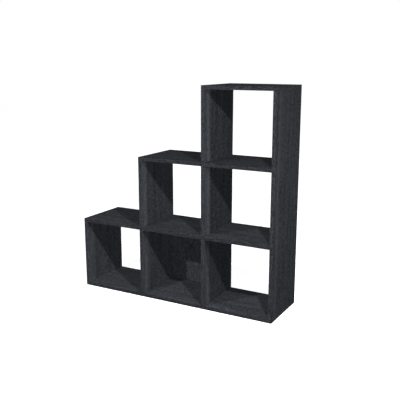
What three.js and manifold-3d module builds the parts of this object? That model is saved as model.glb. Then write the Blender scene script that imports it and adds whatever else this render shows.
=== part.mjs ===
// Staircase bookshelf: three columns, one, two and three cells high, of boards faced in black ash.
// Millimetres, +Z up, the front towards -Y, the origin on the floor at the middle of the footprint.
// The shelf boards run through and the short inner walls stand between them. Two cam fittings pull
// each corner of the outer frame together, and two dowels hold each meeting of boards inside it.
import * as THREE from "three";
import { mergeVertices } from "three/addons/utils/BufferGeometryUtils.js";
import Module from "manifold-3d";

const wasm = await Module();
wasm.setup();

// Driving dimensions of the carcass
const cellWidth = 336;
const cellHeight = 336;
const shelfDepth = 300;
const boardThickness = 18;

// Back panel of the middle bottom cell, held in a groove down the wall on each side of it
const panelThickness = 3;
const panelSetback = 10; // from the rear edges of the boards to the panel
const grooveDepth = 6;

// Where the fittings sit along the depth of a board
const fittingInset = 50; // from the front or rear edge to the cam fittings
const dowelPitch = 32; // from the cam fittings' line to the dowels' line

// Dowels
const dowelDiameter = 8;
const dowelChamfer = 0.8;
const dowelEdgeDepth = 18; // how far a dowel reaches into the end of a board
const dowelFloor = 5.5; // board left under a dowel bore in a face

// Cam fittings: the bolt stands in one board and the cam in the other grips its head
const camDiameter = 15;
const camBackset = 34; // from the face that the bolt stands in to the cam's axis
const camRecess = 0.4; // from the face of the board down to the cam
const camFloor = 3.5; // board left under a cam bore
const camPlay = 0.4; // room round the bolt's neck and head inside the cam
const gripRadius = 3.9; // spiral of the gripping flange where it ends
const entryRadius = 5.2; // and where the bolt's head comes in
const gripStartDegrees = -40;
const gripEndDegrees = 110;
const driverSpan = 6.4; // cross for the screwdriver
const driverWidth = 1.4;
const driverDepth = 2.4;

// Bolts
const boltShankDiameter = 6.4;
const boltNeckDiameter = 4;
const boltHeadDiameter = 6.8;
const boltThreadDiameter = 5;
const boltTipChamfer = 0.9;
const boltFloor = 6; // board left under a bolt's hole
const headUnder = 3; // from the cam's axis to the underside of the head
const headCone = 1; // length of the head's sloping underside
const headReach = 1.4; // how far the head passes the cam's axis
const headChamfer = 0.8;

// Clearances
const seamGap = 0.2; // hairline between two boards that meet
const fitGap = 0.3; // round whatever sits in a bore or a groove
const endSpace = 0.5; // past the end of a dowel or a bolt
const cutOverrun = 1; // how far a cutter stands out of the face that it opens

// Facets of the round pieces and of their bores
const camFacets = 16;
const dowelFacets = 12;
const boltFacets = 10;

// Finishes
const blackAsh = { color: 0x34363c, roughness: 0.55, metalness: 0 };
const blackHardboard = { color: 0x303238, roughness: 0.6, metalness: 0 };
const beech = { color: 0xc8a06a, roughness: 0.7, metalness: 0 };
const castZinc = { color: 0xa8abae, roughness: 0.45, metalness: 0.9 };
const platedSteel = { color: 0xc2c4c6, roughness: 0.3, metalness: 1 };

// Grid: the left faces of the four wall lines and the undersides of the four shelf rows
const shelfNames = ["bottom_board", "lower_shelf", "upper_shelf", "top_board"];
const columnCount = shelfNames.length - 1;
const totalWidth = columnCount * (cellWidth + boardThickness) + boardThickness;
const wallLines = shelfNames.map((name, index) => index * (cellWidth + boardThickness) - totalWidth / 2);
const shelfRows = shelfNames.map((name, index) => index * (cellHeight + boardThickness));
const [outerLeft, innerFirst, innerSecond, outerRight] = wallLines;
const [rowBottom, rowLower, rowUpper, rowTop] = shelfRows;

const left = new THREE.Vector3(-1, 0, 0);
const right = new THREE.Vector3(1, 0, 0);
const up = new THREE.Vector3(0, 0, 1);
const down = new THREE.Vector3(0, 0, -1);

function boxBetween(xLow, xHigh, zLow, zHigh) {
  const low = new THREE.Vector3(xLow, -shelfDepth / 2, zLow);
  const high = new THREE.Vector3(xHigh, shelfDepth / 2, zHigh);
  return new THREE.Box3(low, high);
}

function uprightBox(line, zLow, zHigh) {
  return boxBetween(line, line + boardThickness, zLow, zHigh);
}

function innerWallBox(line, rowBelow, rowAbove) {
  return uprightBox(line, rowBelow + boardThickness + seamGap, rowAbove - seamGap);
}

function shelfBox(row, xLow, xHigh) {
  return boxBetween(xLow, xHigh, row, row + boardThickness);
}

// The boards, each as the space that it fills
const boards = {
  left_side: uprightBox(outerLeft, rowBottom, rowLower - seamGap),
  right_side: uprightBox(outerRight, rowBottom, rowTop - seamGap),
  bottom_board: shelfBox(rowBottom, outerLeft + boardThickness + seamGap, outerRight - seamGap),
  lower_shelf: shelfBox(rowLower, outerLeft, outerRight - seamGap),
  upper_shelf: shelfBox(rowUpper, innerFirst, outerRight - seamGap),
  top_board: shelfBox(rowTop, innerSecond, outerRight + boardThickness),
  inner_wall_1_lower: innerWallBox(innerFirst, rowBottom, rowLower),
  inner_wall_1_upper: innerWallBox(innerFirst, rowLower, rowUpper),
  inner_wall_2_lower: innerWallBox(innerSecond, rowBottom, rowLower),
  inner_wall_2_middle: innerWallBox(innerSecond, rowLower, rowUpper),
  inner_wall_2_upper: innerWallBox(innerSecond, rowUpper, rowTop),
};

// Corners of the frame: the board that holds the cams ends on the board that the bolts stand in
const camJoints = [
  { name: "bottom_left", from: "bottom_board", into: "left_side", towards: left, camFace: down },
  { name: "bottom_right", from: "bottom_board", into: "right_side", towards: right, camFace: down },
  { name: "left_top", from: "left_side", into: "lower_shelf", towards: up, camFace: right },
  { name: "step_1_foot", from: "inner_wall_1_upper", into: "lower_shelf", towards: down, camFace: left },
  { name: "step_1_head", from: "inner_wall_1_upper", into: "upper_shelf", towards: up, camFace: left },
  { name: "step_2_foot", from: "inner_wall_2_upper", into: "upper_shelf", towards: down, camFace: left },
  { name: "step_2_head", from: "inner_wall_2_upper", into: "top_board", towards: up, camFace: left },
  { name: "right_top", from: "right_side", into: "top_board", towards: up, camFace: left },
];

// Meetings inside the frame: a dowel in the end of one board and in the face of the other, or
// right through that board and on into the end of the one beyond it
const dowelJoints = [
  { name: "lower_shelf_end", from: "lower_shelf", into: "right_side", towards: right },
  { name: "upper_shelf_end", from: "upper_shelf", into: "right_side", towards: right },
  { name: "wall_1_foot", from: "inner_wall_1_lower", into: "bottom_board", towards: down },
  { name: "wall_1_head", from: "inner_wall_1_lower", into: "lower_shelf", towards: up },
  { name: "wall_2_foot", from: "inner_wall_2_lower", into: "bottom_board", towards: down },
  {
    name: "wall_2_through",
    from: "inner_wall_2_lower",
    into: "lower_shelf",
    towards: up,
    beyond: "inner_wall_2_middle",
  },
  { name: "wall_2_head", from: "inner_wall_2_middle", into: "upper_shelf", towards: up },
];

const camLineY = shelfDepth / 2 - fittingInset;
const dowelLineY = camLineY - dowelPitch;
const frontAndRear = [
  { end: "front", side: -1 },
  { end: "rear", side: 1 },
];

// Cutters wait here, by board, until the boards are made
const cutters = Object.fromEntries(Object.keys(boards).map((name) => [name, []]));

const bookshelf = new THREE.Group();
const carcass = new THREE.Group();
const fittings = new THREE.Group();
bookshelf.add(carcass, fittings);

function toSolid(geometry) {
  const plain = geometry.clone();
  plain.deleteAttribute("normal");
  plain.deleteAttribute("uv");
  const welded = mergeVertices(plain);
  const vertProperties = welded.attributes.position.array;
  const triVerts = new Uint32Array(welded.index.array);
  return new wasm.Manifold(new wasm.Mesh({ numProp: 3, vertProperties, triVerts }));
}

function cutAway(geometry, cuts) {
  const solid = cuts.reduce((rest, cut) => rest.subtract(toSolid(cut)), toSolid(geometry));
  const { vertProperties, triVerts } = solid.getMesh();
  const result = new THREE.BufferGeometry();
  result.setAttribute("position", new THREE.BufferAttribute(vertProperties, 3));
  result.setIndex(new THREE.BufferAttribute(triVerts, 1));
  result.computeVertexNormals();
  return result;
}

function addPiece(group, name, geometry, finish, place) {
  const piece = new THREE.Mesh(geometry, new THREE.MeshStandardMaterial(finish));
  piece.name = name;
  piece.position.copy(place);
  group.add(piece);
  return piece;
}

// Points along a direction, and faces of a board's box
function along(start, direction, distance) {
  return start.clone().addScaledVector(direction, distance);
}

function centreOf(box) {
  return box.getCenter(new THREE.Vector3());
}

function faceCentre(box, direction) {
  const halfSize = box.getSize(new THREE.Vector3()).divideScalar(2);
  return centreOf(box).add(halfSize.multiply(direction));
}

// The point where the middle of one board's end meets the other board's face, at a given depth
function meetingPoint(from, into, towards, y) {
  const middle = centreOf(boards[from]);
  const face = faceCentre(boards[into], towards.clone().negate());
  const point = along(middle, towards, face.sub(middle).dot(towards));
  point.y = y;
  return point;
}

function boxCutter(low, high) {
  const size = high.clone().sub(low);
  const middle = low.clone().add(high).divideScalar(2);
  return new THREE.BoxGeometry(size.x, size.y, size.z).translate(middle.x, middle.y, middle.z);
}

function boreCutter(start, end, diameter, facets) {
  const length = start.distanceTo(end);
  const direction = end.clone().sub(start).normalize();
  const turn = new THREE.Quaternion().setFromUnitVectors(new THREE.Vector3(0, 1, 0), direction);
  const middle = start.clone().add(end).divideScalar(2);
  return new THREE.CylinderGeometry(diameter / 2, diameter / 2, length, facets)
    .applyQuaternion(turn)
    .translate(middle.x, middle.y, middle.z);
}

// Dowel with chamfered ends, lying along its own Y axis from 0 upwards
function dowelGeometry(length) {
  const radius = dowelDiameter / 2;
  const profile = [
    new THREE.Vector2(0, 0),
    new THREE.Vector2(radius - dowelChamfer, 0),
    new THREE.Vector2(radius, dowelChamfer),
    new THREE.Vector2(radius, length - dowelChamfer),
    new THREE.Vector2(radius - dowelChamfer, length),
    new THREE.Vector2(0, length),
  ];
  return new THREE.LatheGeometry(profile, dowelFacets);
}

function addDowels({ name, from, into, towards, beyond }) {
  const boreDiameter = dowelDiameter + 2 * fitGap;
  const faceDepth = boardThickness - dowelFloor - endSpace;
  const reach = beyond ? boardThickness + dowelEdgeDepth : faceDepth;
  frontAndRear.forEach(({ end, side }) => {
    const point = meetingPoint(from, into, towards, side * dowelLineY);
    const start = along(point, towards, -dowelEdgeDepth);
    const tip = along(point, towards, reach);
    const boreStart = along(start, towards, -endSpace);
    const boreEnd = along(tip, towards, endSpace);
    const bore = boreCutter(boreStart, boreEnd, boreDiameter, dowelFacets);
    [from, into, beyond].filter(Boolean).forEach((board) => cutters[board].push(bore));
    const geometry = dowelGeometry(start.distanceTo(tip));
    const dowel = addPiece(fittings, `dowel_${name}_${end}`, geometry, beech, start);
    dowel.quaternion.setFromUnitVectors(new THREE.Vector3(0, 1, 0), towards);
  });
}

// Bolt, along its own Y axis: the thread below 0, the shank, neck and head above it
function boltGeometry() {
  const threadLength = boardThickness - boltFloor - endSpace;
  const threadRadius = boltThreadDiameter / 2;
  const shankRadius = boltShankDiameter / 2;
  const neckRadius = boltNeckDiameter / 2;
  const headRadius = boltHeadDiameter / 2;
  const shankEnd = camBackset - camDiameter / 2 - camPlay;
  const headStart = camBackset - headUnder;
  const headEnd = camBackset + headReach;
  const profile = [
    new THREE.Vector2(0, -threadLength),
    new THREE.Vector2(threadRadius - boltTipChamfer, -threadLength),
    new THREE.Vector2(threadRadius, boltTipChamfer - threadLength),
    new THREE.Vector2(threadRadius, seamGap),
    new THREE.Vector2(shankRadius, seamGap),
    new THREE.Vector2(shankRadius, shankEnd),
    new THREE.Vector2(neckRadius, shankEnd),
    new THREE.Vector2(neckRadius, headStart),
    new THREE.Vector2(headRadius, headStart + headCone),
    new THREE.Vector2(headRadius, headEnd - headChamfer),
    new THREE.Vector2(headRadius - headChamfer, headEnd),
    new THREE.Vector2(0, headEnd),
  ];
  return new THREE.LatheGeometry(profile, boltFacets);
}

const degreesToRadians = Math.PI / 180;

// Outline of the hollow in which the bolt's head sits: a spiral between the grip's two ends,
// and the full entry radius on the rest of the way round
function chamberShape() {
  const outline = new THREE.Shape();
  const gripSweep = gripEndDegrees - gripStartDegrees;
  const gripPoints = camFacets / 2;
  for (let point = 0; point <= gripPoints; point += 1) {
    const share = point / gripPoints;
    const angle = (gripStartDegrees + share * gripSweep) * degreesToRadians;
    const radius = gripRadius + share * (entryRadius - gripRadius);
    if (point === 0) outline.moveTo(radius * Math.cos(angle), radius * Math.sin(angle));
    else outline.lineTo(radius * Math.cos(angle), radius * Math.sin(angle));
  }
  const freePoints = camFacets / 2;
  for (let point = 1; point <= freePoints; point += 1) {
    const angle = (gripEndDegrees + (point / freePoints) * (360 - gripSweep)) * degreesToRadians;
    outline.lineTo(entryRadius * Math.cos(angle), entryRadius * Math.sin(angle));
  }
  return outline;
}

// Sector swept by the bolt's neck as the cam turns
function neckSlotShape() {
  const outline = new THREE.Shape();
  outline.moveTo(0, 0);
  const radius = camDiameter / 2 + cutOverrun;
  const start = gripStartDegrees * degreesToRadians;
  const sweep = (gripEndDegrees - gripStartDegrees) * degreesToRadians;
  const sectorPoints = camFacets / 4;
  for (let point = 0; point <= sectorPoints; point += 1) {
    const angle = start + (point / sectorPoints) * sweep;
    const reach = radius / Math.cos(sweep / sectorPoints / 2);
    outline.lineTo(reach * Math.cos(angle), reach * Math.sin(angle));
  }
  return outline;
}

// Cam: its driver face looks along +Z at z = 0, and the bolt comes in along its X axis
function camGeometry() {
  const camHeight = boardThickness - camFloor - camRecess - fitGap;
  const boltDepth = boardThickness / 2 - camRecess;
  const chamberHeight = boltHeadDiameter + 2 * camPlay;
  const slotHeight = boltNeckDiameter + 2 * camPlay;
  const top = new THREE.Vector3(0, 0, 0);
  const bottom = new THREE.Vector3(0, 0, -camHeight);
  const body = boreCutter(bottom, top, camDiameter, camFacets);
  const chamber = new THREE.ExtrudeGeometry(chamberShape(), { depth: chamberHeight, bevelEnabled: false })
    .translate(0, 0, -boltDepth - chamberHeight / 2);
  const neckSlot = new THREE.ExtrudeGeometry(neckSlotShape(), { depth: slotHeight, bevelEnabled: false })
    .translate(0, 0, -boltDepth - slotHeight / 2);
  const inside = new THREE.Vector3(0, 0, -boltDepth);
  const entryAngle = gripEndDegrees * degreesToRadians;
  const entryWay = new THREE.Vector3(Math.cos(entryAngle), Math.sin(entryAngle), 0);
  const outside = along(inside, entryWay, camDiameter / 2 + cutOverrun);
  const entry = boreCutter(inside, outside, chamberHeight, boltFacets);
  const halfSpan = driverSpan / 2;
  const halfWidth = driverWidth / 2;
  const driverSlots = [
    boxCutter(
      new THREE.Vector3(-halfSpan, -halfWidth, -driverDepth),
      new THREE.Vector3(halfSpan, halfWidth, cutOverrun),
    ),
    boxCutter(
      new THREE.Vector3(-halfWidth, -halfSpan, -driverDepth),
      new THREE.Vector3(halfWidth, halfSpan, cutOverrun),
    ),
  ];
  return cutAway(body, [chamber, neckSlot, entry, ...driverSlots]);
}

function addCamFittings({ name, from, into, towards, camFace }) {
  const awayFromBolt = towards.clone().negate();
  frontAndRear.forEach(({ end, side }) => {
    const point = meetingPoint(from, into, towards, side * camLineY);
    const boltHoleEnd = along(point, towards, boardThickness - boltFloor);
    const boltHoleDiameter = boltThreadDiameter + 2 * fitGap;
    const boltHoleStart = along(point, awayFromBolt, cutOverrun);
    cutters[into].push(boreCutter(boltHoleStart, boltHoleEnd, boltHoleDiameter, boltFacets));

    const camAxis = along(point, awayFromBolt, camBackset);
    const shankBoreStart = along(point, towards, cutOverrun);
    const shankBoreDiameter = boltShankDiameter + 2 * fitGap;
    cutters[from].push(boreCutter(shankBoreStart, camAxis, shankBoreDiameter, boltFacets));

    const facePoint = along(camAxis, camFace, boardThickness / 2);
    const camBoreMouth = along(facePoint, camFace, cutOverrun);
    const camBoreFloor = along(facePoint, camFace, camFloor - boardThickness);
    const camBoreDiameter = camDiameter + 2 * fitGap;
    cutters[from].push(boreCutter(camBoreMouth, camBoreFloor, camBoreDiameter, camFacets));

    const bolt = addPiece(fittings, `bolt_${name}_${end}`, boltGeometry(), platedSteel, point);
    bolt.quaternion.setFromUnitVectors(new THREE.Vector3(0, 1, 0), awayFromBolt);

    const camPlace = along(facePoint, camFace, -camRecess);
    const cam = addPiece(fittings, `cam_${name}_${end}`, camGeometry(), castZinc, camPlace);
    const acrossBolt = camFace.clone().cross(towards);
    const turn = new THREE.Matrix4().makeBasis(towards, acrossBolt, camFace);
    cam.quaternion.setFromRotationMatrix(turn);
  });
}

function addBoard(name, box, finish, cuts) {
  const place = centreOf(box);
  const worked = cutAway(boxCutter(box.min, box.max), cuts);
  worked.translate(-place.x, -place.y, -place.z);
  addPiece(carcass, name, worked, finish, place);
}

// The panel stands between the bottom board and the lower shelf, its side edges in the grooves
function addBackPanel() {
  const rear = shelfDepth / 2 - panelSetback;
  const front = rear - panelThickness;
  const leftFace = boards.inner_wall_1_lower.max.x;
  const rightFace = boards.inner_wall_2_lower.min.x;
  const foot = boards.inner_wall_1_lower.min.z;
  const head = boards.inner_wall_1_lower.max.z;

  const grooveLow = new THREE.Vector3(leftFace - grooveDepth, front - fitGap, foot - cutOverrun);
  const grooveHigh = new THREE.Vector3(leftFace + cutOverrun, rear + fitGap, head + cutOverrun);
  cutters.inner_wall_1_lower.push(boxCutter(grooveLow, grooveHigh));
  const oppositeLow = grooveLow.clone().setX(rightFace - cutOverrun);
  const oppositeHigh = grooveHigh.clone().setX(rightFace + grooveDepth);
  cutters.inner_wall_2_lower.push(boxCutter(oppositeLow, oppositeHigh));

  const inGroove = grooveDepth - fitGap;
  const low = new THREE.Vector3(leftFace - inGroove, front, foot);
  const high = new THREE.Vector3(rightFace + inGroove, rear, head);
  addBoard("back_panel", new THREE.Box3(low, high), blackHardboard, []);
}

camJoints.forEach(addCamFittings);
dowelJoints.forEach(addDowels);
addBackPanel();
Object.entries(boards).forEach(([name, box]) => addBoard(name, box, blackAsh, cutters[name]));

export default bookshelf;
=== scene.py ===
# Looks of the staircase bookshelf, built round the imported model. Metres, +Z up, front towards -Y.
import math

import bmesh
import bpy
from mathutils import Matrix, Vector


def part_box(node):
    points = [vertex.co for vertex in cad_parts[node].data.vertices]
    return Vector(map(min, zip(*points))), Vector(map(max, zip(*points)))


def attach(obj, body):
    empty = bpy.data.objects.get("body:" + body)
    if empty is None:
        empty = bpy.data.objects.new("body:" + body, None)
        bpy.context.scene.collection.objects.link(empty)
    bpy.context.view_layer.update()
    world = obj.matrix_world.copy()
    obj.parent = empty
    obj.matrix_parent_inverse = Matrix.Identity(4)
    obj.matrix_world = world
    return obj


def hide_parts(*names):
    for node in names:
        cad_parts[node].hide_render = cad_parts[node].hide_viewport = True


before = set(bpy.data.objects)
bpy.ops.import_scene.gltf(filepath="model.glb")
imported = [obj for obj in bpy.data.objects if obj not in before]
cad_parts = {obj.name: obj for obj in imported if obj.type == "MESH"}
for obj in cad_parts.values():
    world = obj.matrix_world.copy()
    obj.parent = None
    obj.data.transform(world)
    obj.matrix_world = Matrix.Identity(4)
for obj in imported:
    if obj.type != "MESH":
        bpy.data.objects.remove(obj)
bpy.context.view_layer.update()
scene = bpy.context.scene
scene.view_settings.view_transform = "Standard"
print("frame loaded:", len(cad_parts), "nodes")


# Small helpers, so that each material below reads from top to bottom
def addNode(tree, kind, inputs=None, **settings):
    node = tree.nodes.new(kind)
    for name, value in settings.items():
        setattr(node, name, value)
    for name, value in (inputs or {}).items():
        if isinstance(value, bpy.types.NodeSocket):
            tree.links.new(value, node.inputs[name])
        else:
            node.inputs[name].default_value = value
    return node


def calc(tree, operation, *values):
    node = addNode(tree, "ShaderNodeMath", dict(enumerate(values)), operation=operation)
    return node.outputs[0]


def vectorCalc(tree, operation, *values):
    node = addNode(tree, "ShaderNodeVectorMath", dict(enumerate(values)), operation=operation)
    return node.outputs[0]


# Noise and cells take their repeats per metre along X, Y and Z
def noise(tree, vector, repeats, detail=2.0, roughness=0.5, output="Fac"):
    inputs = {
        "Vector": vectorCalc(tree, "MULTIPLY", vector, repeats),
        "Scale": 1.0,
        "Detail": detail,
        "Roughness": roughness,
    }
    return addNode(tree, "ShaderNodeTexNoise", inputs).outputs[output]


def cells(tree, vector, repeats, output="Color"):
    inputs = {"Vector": vectorCalc(tree, "MULTIPLY", vector, repeats), "Scale": 1.0}
    return addNode(tree, "ShaderNodeTexVoronoi", inputs).outputs[output]


def fade(tree, value, limits, ends=(0.0, 1.0)):
    inputs = {
        "Value": value,
        "From Min": limits[0],
        "From Max": limits[1],
        "To Min": ends[0],
        "To Max": ends[1],
    }
    node = addNode(tree, "ShaderNodeMapRange", inputs, interpolation_type="SMOOTHSTEP")
    return node.outputs["Result"]


def mixColour(tree, factor, first, second):
    inputs = {0: factor}
    for place, colour in ((6, first), (7, second)):  # the two colour sockets of a mix node
        inputs[place] = colour if isinstance(colour, bpy.types.NodeSocket) else (*colour, 1.0)
    return addNode(tree, "ShaderNodeMix", inputs, data_type="RGBA").outputs[2]


def newGroup(name, inputs, outputs):
    group = bpy.data.node_groups.new(name, "ShaderNodeTree")
    for socketName, value in inputs.items():
        isVector = isinstance(value, tuple)
        kind = "NodeSocketVector" if isVector else "NodeSocketFloat"
        socket = group.interface.new_socket(socketName, in_out="INPUT", socket_type=kind)
        socket.default_value = value
    for socketName in outputs:
        group.interface.new_socket(socketName, in_out="OUTPUT", socket_type="NodeSocketFloat")
    given = group.nodes.new("NodeGroupInput").outputs
    result = group.nodes.new("NodeGroupOutput").inputs
    return group, given, result


def placeGroup(tree, group, inputs):
    return addNode(tree, "ShaderNodeGroup", inputs, node_tree=group).outputs


def newMaterial(name, shine):
    material = bpy.data.materials.new(name)
    material.use_nodes = True
    tree = material.node_tree
    principled = tree.nodes["Principled BSDF"]
    for socketName, value in shine.items():
        principled.inputs[socketName].default_value = value
    position = addNode(tree, "ShaderNodeTexCoord").outputs["Object"]
    return material, tree, principled, position


def finishSurface(tree, principled, colour, roughness, height, depth):
    bump = addNode(tree, "ShaderNodeBump", {"Height": height, "Distance": depth, "Strength": 1.0})
    tree.links.new(colour, principled.inputs["Base Color"])
    tree.links.new(roughness, principled.inputs["Roughness"])
    tree.links.new(bump.outputs["Normal"], principled.inputs["Normal"])


# Grain of the printed ash: runs along Z of the vector that comes in
figure = {
    "drift": (3.0, 3.0, 1.6),
    "ringStretch": (1.0, 1.0, 0.05),
    "ringDistortion": 2.2,
    "ringDetail": 2.0,
    "ringDetailScale": 1.6,
    "ringDetailRoughness": 0.55,
    "lateWoodPower": 2.5,
    "broad": (30.0, 30.0, 2.2),
    "clumps": (320.0, 320.0, 85.0),
    "fibres": (1100.0, 1100.0, 28.0),
    "fibreRoughness": 0.65,
    "dashes": (1500.0, 1500.0, 75.0),
    "dashLimits": (0.60, 0.70),
    "middleTone": 0.58,
    "broadShare": 0.7,
    "clumpShare": 2.7,
    "fibreShare": 2.8,
    "lateWoodShare": -0.25,
    "poresInLateWood": -0.75,
    "poreRelief": -0.8,
    "fibreRelief": 0.5,
}


def makeAshGrain():
    inputs = {"Vector": (0.0, 0.0, 0.0), "Ring Scale": 30.0, "Waviness": 0.0}
    group, given, result = newGroup("ashGrain", inputs, ["Tone", "Pores", "Relief"])
    vector = given["Vector"]
    drift = noise(group, vector, figure["drift"], detail=1.0, output="Color")
    centred = vectorCalc(group, "SUBTRACT", drift, (0.5, 0.5, 0.5))
    reach = {"X": given["Waviness"], "Y": given["Waviness"]}
    sway = addNode(group, "ShaderNodeCombineXYZ", reach).outputs[0]
    warped = vectorCalc(group, "MULTIPLY_ADD", centred, sway, vector)
    ringInputs = {
        "Vector": vectorCalc(group, "MULTIPLY", warped, figure["ringStretch"]),
        "Scale": given["Ring Scale"],
        "Distortion": figure["ringDistortion"],
        "Detail": figure["ringDetail"],
        "Detail Scale": figure["ringDetailScale"],
        "Detail Roughness": figure["ringDetailRoughness"],
    }
    ringKind = {"wave_type": "RINGS", "rings_direction": "Z"}
    rings = addNode(group, "ShaderNodeTexWave", ringInputs, **ringKind).outputs["Fac"]
    lateWood = calc(group, "POWER", rings, figure["lateWoodPower"])
    broad = noise(group, warped, figure["broad"])
    clumps = noise(group, warped, figure["clumps"], detail=1.0)
    fibres = noise(group, warped, figure["fibres"], roughness=figure["fibreRoughness"])
    tone = calc(group, "MULTIPLY_ADD", broad, figure["broadShare"], -figure["broadShare"] / 2)
    for texture, share in ((clumps, figure["clumpShare"]), (fibres, figure["fibreShare"])):
        tone = calc(group, "MULTIPLY_ADD", calc(group, "SUBTRACT", texture, 0.5), share, tone)
    tone = calc(group, "MULTIPLY_ADD", lateWood, figure["lateWoodShare"], tone)
    group.links.new(calc(group, "ADD", tone, figure["middleTone"]), result["Tone"])
    dashes = fade(group, noise(group, vector, figure["dashes"], detail=0.0), figure["dashLimits"])
    soft = calc(group, "MULTIPLY_ADD", lateWood, figure["poresInLateWood"], 1.0)
    pores = calc(group, "MULTIPLY", dashes, soft)
    group.links.new(pores, result["Pores"])
    raised = calc(group, "MULTIPLY", fibres, figure["fibreRelief"])
    relief = calc(group, "MULTIPLY_ADD", pores, figure["poreRelief"], raised)
    group.links.new(relief, result["Relief"])
    return group


# Pale line of sapwood in the print, at one distance behind the front edge
sapwood = {
    "swayRepeats": (2.0, 0.0, 2.0),
    "sway": 0.008,
    "patches": (60.0, 60.0, 40.0),
    "patchLimits": (0.3, 0.6),
    "faintest": 0.35,
}


def makePaleLine():
    inputs = {"Vector": (0.0, 0.0, 0.0), "Place": 0.0, "Half Width": 0.01}
    group, given, result = newGroup("paleLine", inputs, ["Line"])
    across = addNode(group, "ShaderNodeSeparateXYZ", {0: given["Vector"]}).outputs["Y"]
    wander = noise(group, given["Vector"], sapwood["swayRepeats"], detail=1.0)
    centred = calc(group, "SUBTRACT", wander, 0.5)
    shifted = calc(group, "MULTIPLY_ADD", centred, sapwood["sway"], across)
    distance = calc(group, "ABSOLUTE", calc(group, "SUBTRACT", shifted, given["Place"]))
    away = calc(group, "DIVIDE", distance, given["Half Width"])
    line = fade(group, away, (0.0, 1.0), (1.0, 0.0))
    cloudy = noise(group, given["Vector"], sapwood["patches"])
    patches = fade(group, cloudy, sapwood["patchLimits"], (sapwood["faintest"], 1.0))
    group.links.new(calc(group, "MULTIPLY", line, patches), result["Line"])
    return group


# Rubbed arris: the attribute on the rounded edges, broken up so that it comes and goes
rubbing = {"patches": (38.0, 38.0, 38.0), "limits": (0.42, 0.62)}


def makeRubbedEdge():
    inputs = {"Vector": (0.0, 0.0, 0.0), "Amount": 1.0}
    group, given, result = newGroup("rubbedEdge", inputs, ["Rub"])
    arris = addNode(group, "ShaderNodeAttribute", attribute_name="arris").outputs["Fac"]
    cloudy = noise(group, given["Vector"], rubbing["patches"], detail=3.0)
    patches = fade(group, cloudy, rubbing["limits"])
    worn = calc(group, "MULTIPLY", arris, patches)
    group.links.new(calc(group, "MULTIPLY", worn, given["Amount"]), result["Rub"])
    return group


# Even small unevenness, such as on plastic and plated or cast metal
mottling = {
    "coarse": (90.0, 90.0, 90.0),
    "fine": (1400.0, 1400.0, 1400.0),
    "coarseLimits": (0.35, 0.65),
    "fineLimits": (0.3, 0.7),
}


def makeFineMottle():
    inputs = {"Vector": (0.0, 0.0, 0.0), "Size": 1.0}
    group, given, result = newGroup("fineMottle", inputs, ["Coarse", "Fine"])
    scaling = {0: given["Vector"], "Scale": given["Size"]}
    scaled = addNode(group, "ShaderNodeVectorMath", scaling, operation="SCALE").outputs[0]
    group.links.new(noise(group, scaled, mottling["coarse"], detail=3.0), result["Coarse"])
    group.links.new(noise(group, scaled, mottling["fine"]), result["Fine"])
    return group


ashGrain, paleLine = makeAshGrain(), makePaleLine()
rubbedEdge, fineMottle = makeRubbedEdge(), makeFineMottle()

# Black ash print on the boards: the foil on the faces and the band on the edges
ash = {
    "dark": (0.0165, 0.0180, 0.0215),
    "light": (0.0534, 0.0567, 0.0649),
    "pore": (0.0120, 0.0128, 0.0150),
    "poreShare": 0.7,
    "ringScale": 34.0,
    "waviness": 0.03,
    "paleLine": (0.0760, 0.0800, 0.0900),
    "rubbed": (0.110, 0.112, 0.118),
    "rubbedShare": 0.5,
    "roughness": (1.0, 0.86),
    "specular": 0.006,
    "relief": 0.00012,
}


def makeAsh(name, turn, shift, lift=1.0, line=None, rubbed=False):
    shine = {"Specular IOR Level": ash["specular"]}
    material, tree, principled, position = newMaterial(name, shine)
    turning = {"Vector": position, "Rotation": turn, "Location": shift}
    turned = addNode(tree, "ShaderNodeMapping", turning).outputs["Vector"]
    growth = {"Vector": turned, "Ring Scale": ash["ringScale"], "Waviness": ash["waviness"]}
    grain = placeGroup(tree, ashGrain, growth)
    dark, light = (tuple(lift * c for c in ash[shade]) for shade in ("dark", "light"))
    colour = mixColour(tree, grain["Tone"], dark, light)
    if line:
        strip = {"Vector": position, "Place": line["place"], "Half Width": line["halfWidth"]}
        pale = placeGroup(tree, paleLine, strip)["Line"]
        paleShare = calc(tree, "MULTIPLY", pale, line["share"])
        colour = mixColour(tree, paleShare, colour, ash["paleLine"])
    poreShare = calc(tree, "MULTIPLY", grain["Pores"], ash["poreShare"])
    colour = mixColour(tree, poreShare, colour, ash["pore"])
    if rubbed:
        wear = {"Vector": position, "Amount": ash["rubbedShare"]}
        colour = mixColour(tree, placeGroup(tree, rubbedEdge, wear)["Rub"], colour, ash["rubbed"])
    roughness = fade(tree, grain["Tone"], (0.0, 1.0), ash["roughness"])
    finishSurface(tree, principled, colour, roughness, grain["Relief"], ash["relief"])
    return material


# The turn lays the grain along the board, the shift picks another place in the print
upright, lengthways, endways = (0.0, 0.0, 0.0), (0.0, math.pi / 2, 0.0), (math.pi / 2, 0.0, 0.0)
frontLine = {"place": -0.111, "halfWidth": 0.029, "share": 0.46}
ashUpright = makeAsh("ash_foil_upright", upright, (0.0, 0.06, 0.0), line=frontLine)
ashShelf = makeAsh("ash_foil_shelf", lengthways, (0.42, 0.09, 0.0))
bandUpright = makeAsh("ash_band_upright", upright, (0.21, 0.4, 0.3), lift=1.13, rubbed=True)
bandShelf = makeAsh("ash_band_shelf", lengthways, (0.53, 0.33, 0.1), lift=1.01, rubbed=True)
bandEnd = makeAsh("ash_band_end", endways, (0.1, 0.47, 0.2), lift=1.07, rubbed=True)

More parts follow.
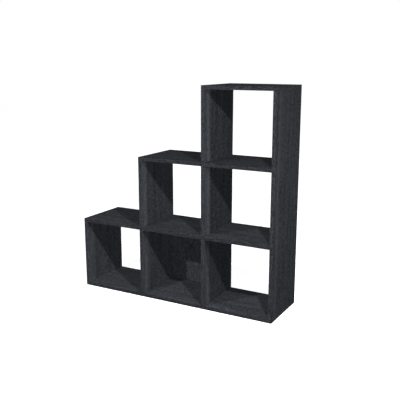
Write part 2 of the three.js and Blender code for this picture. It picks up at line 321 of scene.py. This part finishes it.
# Raw board inside the bores and grooves and under the sides; ends that meet another board get
# painted shade
chips = {
    "pale": (0.42, 0.30, 0.17),
    "brown": (0.16, 0.095, 0.045),
    "gap": (0.05, 0.03, 0.016),
    # darkening factor of the painted seam shade
    "seamShadeDarkening": 0.12,
    "bendRepeats": (260.0, 120.0, 260.0),
    "bend": (0.0022, 0.0022, 0.0022),
    "coarse": (1000.0, 230.0, 900.0),
    "fine": (2900.0, 800.0, 2600.0),
    "fineShare": 0.55,
    "toneLimits": (0.15, 0.85),
    "gapLimits": (0.65, 0.95),
    "gapShare": 0.35,
    "roughness": (0.95, 0.8),
    "specular": 0.1,
    "relief": 0.0003,
}


def makeChipboard(name, shade):
    shine = {"Specular IOR Level": chips["specular"]}
    material, tree, principled, position = newMaterial(name, shine)
    pale, brown, gap = (tuple(shade * c for c in chips[part]) for part in ("pale", "brown", "gap"))
    bend = noise(tree, position, chips["bendRepeats"], output="Color")
    bent = vectorCalc(tree, "MULTIPLY_ADD", bend, chips["bend"], position)
    coarse, fine = cells(tree, bent, chips["coarse"]), cells(tree, bent, chips["fine"])
    both = mixColour(tree, chips["fineShare"], coarse, fine)
    tone = addNode(tree, "ShaderNodeSeparateColor", {0: both}).outputs["Red"]
    colour = mixColour(tree, fade(tree, tone, chips["toneLimits"]), brown, pale)
    gaps = fade(tree, cells(tree, bent, chips["fine"], "Distance"), chips["gapLimits"])
    colour = mixColour(tree, calc(tree, "MULTIPLY", gaps, chips["gapShare"]), colour, gap)
    roughness = fade(tree, tone, (0.0, 1.0), chips["roughness"])
    height = calc(tree, "SUBTRACT", tone, gaps)
    finishSurface(tree, principled, colour, roughness, height, chips["relief"])
    return material


chipboard = makeChipboard("raw_chipboard", 1.0)
# painted shade: the same chipboard darkened for the seams, which the shadowless fills would light
seamShadeChipboard = makeChipboard("seam_shade_chipboard", chips["seamShadeDarkening"])

# Hardboard of the back panel: printed on the front, plain with the mark of the press screen behind
hardboard = {
    "fibreDark": (0.020, 0.017, 0.015),
    "fibrePale": (0.046, 0.038, 0.032),
    "fibres": (320.0, 320.0, 900.0),
    "fibreDetail": 4.0,
    "fibreRoughness": 0.7,
    "fibreLimits": (0.3, 0.7),
    "fibreShare": 0.55,
    "clouds": (9.0, 9.0, 9.0),
    "cloudShare": 0.6,
    "toneLimits": (0.35, 0.85),
    "screenPitch": 0.0018,
    "screenDepth": 0.0001,
    "fibreRelief": 0.4,
    "roughness": (0.85, 0.7),
    "specular": 0.25,
}
wavePitch = math.tau / 20  # at which a wave texture of scale 1 repeats


def makeHardboardRear():
    shine = {"Specular IOR Level": hardboard["specular"]}
    material, tree, principled, position = newMaterial("hardboard_rear", shine)
    detail, grit = hardboard["fibreDetail"], hardboard["fibreRoughness"]
    fibres = noise(tree, position, hardboard["fibres"], detail=detail, roughness=grit)
    clouds = noise(tree, position, hardboard["clouds"], detail=3.0)
    fibreTone = calc(tree, "MULTIPLY", fibres, hardboard["fibreShare"])
    tone = calc(tree, "MULTIPLY_ADD", clouds, hardboard["cloudShare"], fibreTone)
    paleness = fade(tree, tone, hardboard["toneLimits"])
    colour = mixColour(tree, paleness, hardboard["fibreDark"], hardboard["fibrePale"])
    weave = {"Vector": position, "Scale": wavePitch / hardboard["screenPitch"]}
    threads = []
    for direction in "XZ":
        waves = addNode(tree, "ShaderNodeTexWave", weave, bands_direction=direction)
        threads.append(waves.outputs["Fac"])
    screen = calc(tree, "MULTIPLY", *threads)
    height = calc(tree, "MULTIPLY_ADD", fibres, hardboard["fibreRelief"], screen)
    roughness = fade(tree, fibres, hardboard["fibreLimits"], hardboard["roughness"])
    finishSurface(tree, principled, colour, roughness, height, hardboard["screenDepth"])
    return material


panelPrint = makeAsh("hardboard_print", upright, (0.3, 0.2, 0.15), lift=1.39)
hardboardRear = makeHardboardRear()
print("board and panel materials made")

# Fittings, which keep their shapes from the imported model, and the plastic of the caps
zinc = {
    "shades": ((0.36, 0.365, 0.37), (0.56, 0.565, 0.57)),
    "roughness": (0.38, 0.58),
    "mottle": 3.0,
    "relief": 0.00006,
    "shine": {"Metallic": 1.0},
}
steel = {
    "shades": ((0.52, 0.53, 0.55), (0.72, 0.73, 0.74)),
    "roughness": (0.22, 0.34),
    "mottle": 5.0,
    "relief": 0.00002,
    "shine": {"Metallic": 1.0},
}
plastic = {
    "shades": ((0.026, 0.028, 0.033), (0.038, 0.041, 0.047)),
    "roughness": (0.8, 0.95),
    "mottle": 2.0,
    "relief": 0.00003,
    "shine": {"Specular IOR Level": 0.04},
}
beech = {
    "shades": ((0.42, 0.26, 0.14), (0.66, 0.46, 0.28)),
    "fibres": (700.0, 260.0, 260.0),
    "fibreRoughness": 0.6,
    "fibreLimits": (0.3, 0.7),
    "flecks": (1100.0, 1100.0, 240.0),
    "fleckLimits": (0.58, 0.66),
    "fleckShare": 0.35,
    "roughness": (0.75, 0.6),
    "relief": 0.0001,
    "shine": {"Specular IOR Level": 0.3},
}


def makeMottled(name, finish):
    material, tree, principled, position = newMaterial(name, finish["shine"])
    mottle = placeGroup(tree, fineMottle, {"Vector": position, "Size": finish["mottle"]})
    paleness = fade(tree, mottle["Coarse"], mottling["coarseLimits"])
    colour = mixColour(tree, paleness, *finish["shades"])
    roughness = fade(tree, mottle["Fine"], mottling["fineLimits"], finish["roughness"])
    finishSurface(tree, principled, colour, roughness, mottle["Fine"], finish["relief"])
    return material


def makeBeech():
    material, tree, principled, position = newMaterial("beech_dowel", beech["shine"])
    grit = beech["fibreRoughness"]
    fibres = noise(tree, position, beech["fibres"], detail=3.0, roughness=grit)
    flecks = fade(tree, noise(tree, position, beech["flecks"], detail=1.0), beech["fleckLimits"])
    colour = mixColour(tree, fade(tree, fibres, beech["fibreLimits"]), *beech["shades"])
    fleckShare = calc(tree, "MULTIPLY", flecks, beech["fleckShare"])
    colour = mixColour(tree, fleckShare, colour, beech["shades"][0])
    roughness = fade(tree, fibres, beech["fibreLimits"], beech["roughness"])
    finishSurface(tree, principled, colour, roughness, fibres, beech["relief"])
    return material


castZinc, platedSteel = makeMottled("cast_zinc", zinc), makeMottled("plated_steel", steel)
capPlastic, beechDowel = makeMottled("cap_plastic", plastic), makeBeech()
for nodeName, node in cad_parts.items():
    for start, material in (("cam_", castZinc), ("bolt_", platedSteel), ("dowel_", beechDowel)):
        if nodeName.startswith(start):
            node.material_slots[0].material = material
print("fitting materials made")


# Meshes: every new piece keeps its place in its mesh, so its object stays at the origin
def pieceFrom(bm, name, materials):
    mesh = bpy.data.meshes.new(name)
    bm.to_mesh(mesh)
    bm.free()
    piece = bpy.data.objects.new(name, mesh)
    scene.collection.objects.link(piece)
    for material in materials:
        mesh.materials.append(material)
    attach(piece, "root")
    return piece


# Boards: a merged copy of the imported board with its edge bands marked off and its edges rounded
board = {
    "bandThickness": 0.0008,
    "arris": 0.0005,
    "arrisSteps": 3,
    "sharpAngle": math.radians(36),
    "flatAngle": math.radians(0.5),
    "closeTo": 0.00002,
}
foilSlot, bandSlot, endSlot, rawSlot, seamShadeSlot = range(5)
bothEdges = ((1, 0), (1, 1))  # axis and side of the front and the rear edge
leftEnd, rightEnd = (0, 0), (0, 1)
bandedEnds = {
    "lower_shelf": [leftEnd],
    "upper_shelf": [leftEnd],
    "top_board": [leftEnd, rightEnd],
}


def mergedCopy(name):
    bm = bmesh.new()
    bm.from_mesh(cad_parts[name].data)
    bmesh.ops.remove_doubles(bm, verts=bm.verts, dist=board["closeTo"])
    bmesh.ops.dissolve_limit(bm, angle_limit=board["flatAngle"], verts=bm.verts, edges=bm.edges)
    return bm


def shadeSmooth(bm):
    for face in bm.faces:
        face.smooth = True
    for edge in bm.edges:
        edge.smooth = edge.calc_face_angle(math.pi) < board["sharpAngle"]


def shadeEvenly(piece):
    piece.modifiers.new("evenShading", "WEIGHTED_NORMAL").keep_sharp = True


def isOn(corners, point, axis, side, reach=0.0):
    return abs(point[axis] - corners[side][axis]) < reach + board["closeTo"]


# The sides of the board's box that all the points lie on
def sidesOf(corners, *points):
    everySide = [(axis, side) for axis in range(3) for side in range(2)]
    return [one for one in everySide if all(isOn(corners, point, *one) for point in points)]


def bandsAt(corners, banded, point):
    return [isOn(corners, point, *edge, board["bandThickness"]) for edge in banded]


def cutBandLines(bm, corners, banded):
    for axis, side in banded:
        line = corners[side].copy()
        line[axis] += (-1 if side else 1) * board["bandThickness"]
        normal = Vector([float(k == axis) for k in range(3)])
        bmesh.ops.bisect_plane(
            bm,
            geom=bm.verts[:] + bm.edges[:] + bm.faces[:],
            dist=board["closeTo"],
            plane_co=line,
            plane_no=normal,
        )


# Makes one face of each strip and corner beside a band line, so that no tiny edge, left where a
# bore crosses the line, holds the rounding back. The slots only number the strips here.
def joinStrips(bm, corners, banded):
    for face in bm.faces:
        bands = bandsAt(corners, banded, face.calc_center_median())
        face.material_index = sum(2**place for place, inside in enumerate(bands) if inside)
    bmesh.ops.dissolve_limit(
        bm,
        angle_limit=board["flatAngle"],
        verts=bm.verts,
        edges=bm.edges,
        delimit={"MATERIAL"},
    )


def slotAt(corners, banded, thicknessAxis, middle):
    sides = sidesOf(corners, middle)
    if not sides:
        return rawSlot
    if any(side in banded and side[0] == 0 for side in sides):
        return endSlot
    if any(bandsAt(corners, banded, middle)):
        return bandSlot
    if sides[0][0] == thicknessAxis:
        return foilSlot
    standsOnFloor = (2, 0) in sides and middle.z < board["closeTo"]
    # ends that meet another board take the painted seam shade
    return rawSlot if standsOnFloor else seamShadeSlot


# Ends that meet another board stay cut square
def edgesToRound(bm, corners, banded, thicknessAxis):
    chosen = []
    for edge in bm.edges:
        sides = sidesOf(corners, *(vertex.co for vertex in edge.verts))
        finished = all(side in banded or side[0] == thicknessAxis for side in sides)
        if len(sides) == 2 and finished and any(side in banded for side in sides):
            chosen.append(edge)
    return chosen


def dressBoard(name, thicknessAxis, materials):
    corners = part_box(name)
    banded = [*bothEdges, *bandedEnds.get(name, [])]
    bm = mergedCopy(name)
    cutBandLines(bm, corners, banded)
    joinStrips(bm, corners, banded)
    for face in bm.faces:
        middle = face.calc_center_median()
        face.material_index = slotAt(corners, banded, thicknessAxis, middle)
    shadeSmooth(bm)
    arrises = edgesToRound(bm, corners, banded, thicknessAxis)
    for edge in arrises:
        edge.smooth = True
    mark = bm.verts.layers.float.new("arris")
    made = bmesh.ops.bevel(
        bm,
        geom=arrises,
        offset=board["arris"],
        affect="EDGES",
        segments=board["arrisSteps"],
        profile=0.5,
        material=-1,
        clamp_overlap=True,
    )
    for vertex in made["verts"]:
        vertex[mark] = float(not sidesOf(corners, vertex.co))
    piece = pieceFrom(bm, f"{name}_dressed", materials)
    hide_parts(name)
    shadeEvenly(piece)


innerWalls = [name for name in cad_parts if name.startswith("inner_wall")]
uprights = ["left_side", "right_side", *innerWalls]
shelves = ["bottom_board", "lower_shelf", "upper_shelf", "top_board"]
for name in uprights:
    dressBoard(name, 0, [ashUpright, bandUpright, bandEnd, chipboard, seamShadeChipboard])
for name in shelves:
    dressBoard(name, 2, [ashShelf, bandShelf, bandEnd, chipboard, seamShadeChipboard])
print("boards dressed:", len(uprights) + len(shelves))

# Back panel: thin hardboard, printed towards the room
panel = {"arris": 0.0002, "arrisSteps": 2}


def dressPanel():
    bm = mergedCopy("back_panel")
    for face in bm.faces:
        face.material_index = 0 if face.normal.y < -0.5 else 1
    bmesh.ops.bevel(
        bm,
        geom=bm.edges[:],
        offset=panel["arris"],
        affect="EDGES",
        segments=panel["arrisSteps"],
        profile=0.5,
        material=-1,
    )
    piece = pieceFrom(bm, "back_panel_dressed", [panelPrint, hardboardRear])
    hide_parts("back_panel")


dressPanel()
print("back panel dressed")

# Caps: a flat disc over each cam that looks into a room or a cell, with a cross that plugs into it
cap = {
    "diameter": 0.0172,
    "thickness": 0.0009,
    "rim": 0.00045,
    "rimSteps": 4,
    "dishDiameter": 0.0120,
    "dishDepth": 0.00012,
    "dishSlope": 0.0004,
    "sides": 40,
    "prongSpan": 0.0058,
    "prongWidth": 0.0011,
    "prongLength": 0.0018,
    "prongOverlap": 0.0001375,  # into the disc
    "clearance": 0.0004,  # between the cam and the disc
}
cappedCams = {  # and the way along X that each one looks
    "left_top": 1,
    "right_top": -1,
    "step_1_foot": -1,
    "step_1_head": -1,
    "step_2_foot": -1,
    "step_2_head": -1,
}


def makeCap(name, centre, outward):
    bm = bmesh.new()
    radius = cap["diameter"] / 2
    bmesh.ops.create_circle(bm, cap_ends=True, radius=radius, segments=cap["sides"])
    raised = bmesh.ops.extrude_face_region(bm, geom=bm.faces[:])["geom"]
    lid = next(item for item in raised if isinstance(item, bmesh.types.BMFace))
    bmesh.ops.translate(bm, vec=(0, 0, cap["thickness"]), verts=lid.verts[:])
    bmesh.ops.recalc_face_normals(bm, faces=bm.faces[:])
    bmesh.ops.bevel(
        bm,
        geom=lid.edges[:],
        offset=cap["rim"],
        affect="EDGES",
        segments=cap["rimSteps"],
        profile=0.5,
        material=-1,
    )
    top = max(bm.faces, key=lambda face: face.calc_area() if face.normal.z > 0.9 else 0)
    border = (radius - cap["rim"]) - cap["dishDiameter"] / 2
    slope = cap["dishSlope"]
    bmesh.ops.inset_region(bm, faces=[top], thickness=border, depth=0.0)
    bmesh.ops.inset_region(bm, faces=[top], thickness=slope, depth=-cap["dishDepth"])
    prongs = bmesh.ops.create_cube(bm, size=1.0)["verts"]
    core = (cap["prongWidth"], cap["prongWidth"], cap["prongLength"])
    bmesh.ops.scale(bm, vec=core, verts=prongs)
    rise = cap["prongOverlap"] - cap["prongLength"] / 2
    bmesh.ops.translate(bm, vec=(0, 0, rise), verts=prongs)
    flanks = [f for f in bm.faces if abs(f.normal.z) < 0.1 and all(v in prongs for v in f.verts)]
    reach = (cap["prongSpan"] - cap["prongWidth"]) / 2
    for flank in bmesh.ops.extrude_discrete_faces(bm, faces=flanks)["faces"]:
        bmesh.ops.translate(bm, vec=flank.normal * reach, verts=flank.verts[:])
    shadeSmooth(bm)
    turn = Matrix(((0, 0, outward), (0, outward, 0), (-1, 0, 0))).to_4x4()
    bmesh.ops.transform(bm, matrix=Matrix.Translation(centre) @ turn, verts=bm.verts)
    shadeEvenly(pieceFrom(bm, name, [capPlastic]))


for joint, outward in cappedCams.items():
    for end in ("front", "rear"):
        low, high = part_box(f"cam_{joint}_{end}")
        centre = (low + high) / 2
        centre.x = (high.x if outward > 0 else low.x) + outward * cap["clearance"]
        makeCap(f"cap_{joint}_{end}", centre, outward)
print("caps made:", 2 * len(cappedCams))

# Floor: pale, and white to the camera except where the object's shadow takes light away
floor = {
    "radius": 14.0,
    "sides": 96,
    "drop": 0.0005,
    "colour": (0.80, 0.80, 0.80),
    "roughness": 0.9,
    "glow": 0.76,
}


def seenDirectly(tree):
    path = addNode(tree, "ShaderNodeLightPath").outputs
    seen = calc(tree, "MAXIMUM", path["Is Camera Ray"], path["Is Glossy Ray"])
    return calc(tree, "MAXIMUM", seen, path["Is Transmission Ray"])


def makeFloor():
    bm = bmesh.new()
    bmesh.ops.create_circle(bm, cap_ends=True, radius=floor["radius"], segments=floor["sides"])
    mesh = bpy.data.meshes.new("floor")
    bm.to_mesh(mesh)
    bm.free()
    plane = bpy.data.objects.new("floor", mesh)
    plane.location.z = -floor["drop"]
    plane.visible_diffuse = False  # keeps the shadow, throws no light back onto the boards
    scene.collection.objects.link(plane)
    shine = {"Roughness": floor["roughness"], "Specular IOR Level": 0.0}
    material, tree, principled, _ = newMaterial("pale_floor", shine)
    principled.inputs["Base Color"].default_value = (*floor["colour"], 1.0)
    principled.inputs["Emission Color"].default_value = (1.0, 1.0, 1.0, 1.0)
    glow = calc(tree, "MULTIPLY", seenDirectly(tree), floor["glow"])
    tree.links.new(glow, principled.inputs["Emission Strength"])
    backfacing = addNode(tree, "ShaderNodeNewGeometry").outputs["Backfacing"]
    cameraRay = addNode(tree, "ShaderNodeLightPath").outputs["Is Camera Ray"]
    fromBelow = calc(tree, "MULTIPLY", backfacing, cameraRay)  # the camera sees through it there
    clear = addNode(tree, "ShaderNodeBsdfTransparent").outputs[0]
    both = addNode(tree, "ShaderNodeMixShader", {0: fromBelow, 1: principled.outputs[0], 2: clear})
    tree.links.new(both.outputs[0], tree.nodes["Material Output"].inputs["Surface"])
    mesh.materials.append(material)


makeFloor()

# Light: three small lamps with clear shadows, which don't weaken with distance, and a faint one
# without shadow that stands for the light thrown about among the boards
lamps = {
    "main": {"place": (1.104, -1.043, 1.581), "strength": 26.8, "radius": 0.02, "shadow": True},
    "left": {"place": (-0.501, -1.223, 1.206), "strength": 20.6, "radius": 0.02, "shadow": True},
    "side": {"place": (1.015, -0.242, 0.740), "strength": 18.9, "radius": 0.02, "shadow": True},
    "inner": {"place": (0.334, -0.107, 0.717), "strength": 6.1, "radius": 0.0, "shadow": False},
}
fills = {  # even light without shadow, one from each side
    "right": {"from": (1, 0, 0), "strength": 0.76},
    "left": {"from": (-1, 0, 0), "strength": 2.0},
    "front": {"from": (0, -1, 0), "strength": 0.76},
    "rear": {"from": (0, 1, 0), "strength": 2.4},
    "top": {"from": (0, 0, 1), "strength": 0.51},
    "under": {"from": (0, 0, -1), "strength": 1.5},
}


def addLamp(name, settings):
    lamp = bpy.data.lights.new(name, "POINT")
    lamp.energy = 1.0
    lamp.shadow_soft_size = settings["radius"]
    lamp.use_shadow = settings["shadow"]
    lamp.use_nodes = True
    tree = lamp.node_tree
    falloff = addNode(tree, "ShaderNodeLightFalloff", {"Strength": settings["strength"]})
    tree.links.new(falloff.outputs["Constant"], tree.nodes["Emission"].inputs["Strength"])
    carrier = bpy.data.objects.new(name, lamp)
    carrier.location = settings["place"]
    carrier.visible_camera = False
    scene.collection.objects.link(carrier)


def addFill(name, settings):
    lamp = bpy.data.lights.new(name, "SUN")
    lamp.energy = settings["strength"]
    lamp.angle = 0.0
    lamp.use_shadow = False
    carrier = bpy.data.objects.new(name, lamp)
    carrier.rotation_mode = "QUATERNION"
    carrier.rotation_quaternion = Vector(settings["from"]).to_track_quat("Z", "Y")
    scene.collection.objects.link(carrier)


# The world is white where it is seen and throws no light
def makeWorld():
    world = bpy.data.worlds.new("whiteRoom")
    scene.world = world
    world.use_nodes = True
    tree = world.node_tree
    background = tree.nodes["Background"].inputs
    background["Color"].default_value = (1.0, 1.0, 1.0, 1.0)
    tree.links.new(seenDirectly(tree), background["Strength"])


for name, settings in lamps.items():
    addLamp(f"{name}Lamp", settings)
for name, settings in fills.items():
    addFill(f"{name}Fill", settings)
makeWorld()
print("floor and lights placed")

# Camera at the photograph's viewpoint, angles in degrees
view = {
    "place": (1.5575, -2.658, 1.1892),
    "tilt": 77.38,
    "swing": 29.06,
    "lens": 56.09,
    "sensor": 36.0,
}
camera = bpy.data.objects.new("camera", bpy.data.cameras.new("camera"))
camera.location = view["place"]
camera.rotation_euler = (math.radians(view["tilt"]), 0.0, math.radians(view["swing"]))
camera.data.lens = view["lens"]
camera.data.sensor_width = view["sensor"]
scene.collection.objects.link(camera)
scene.camera = camera
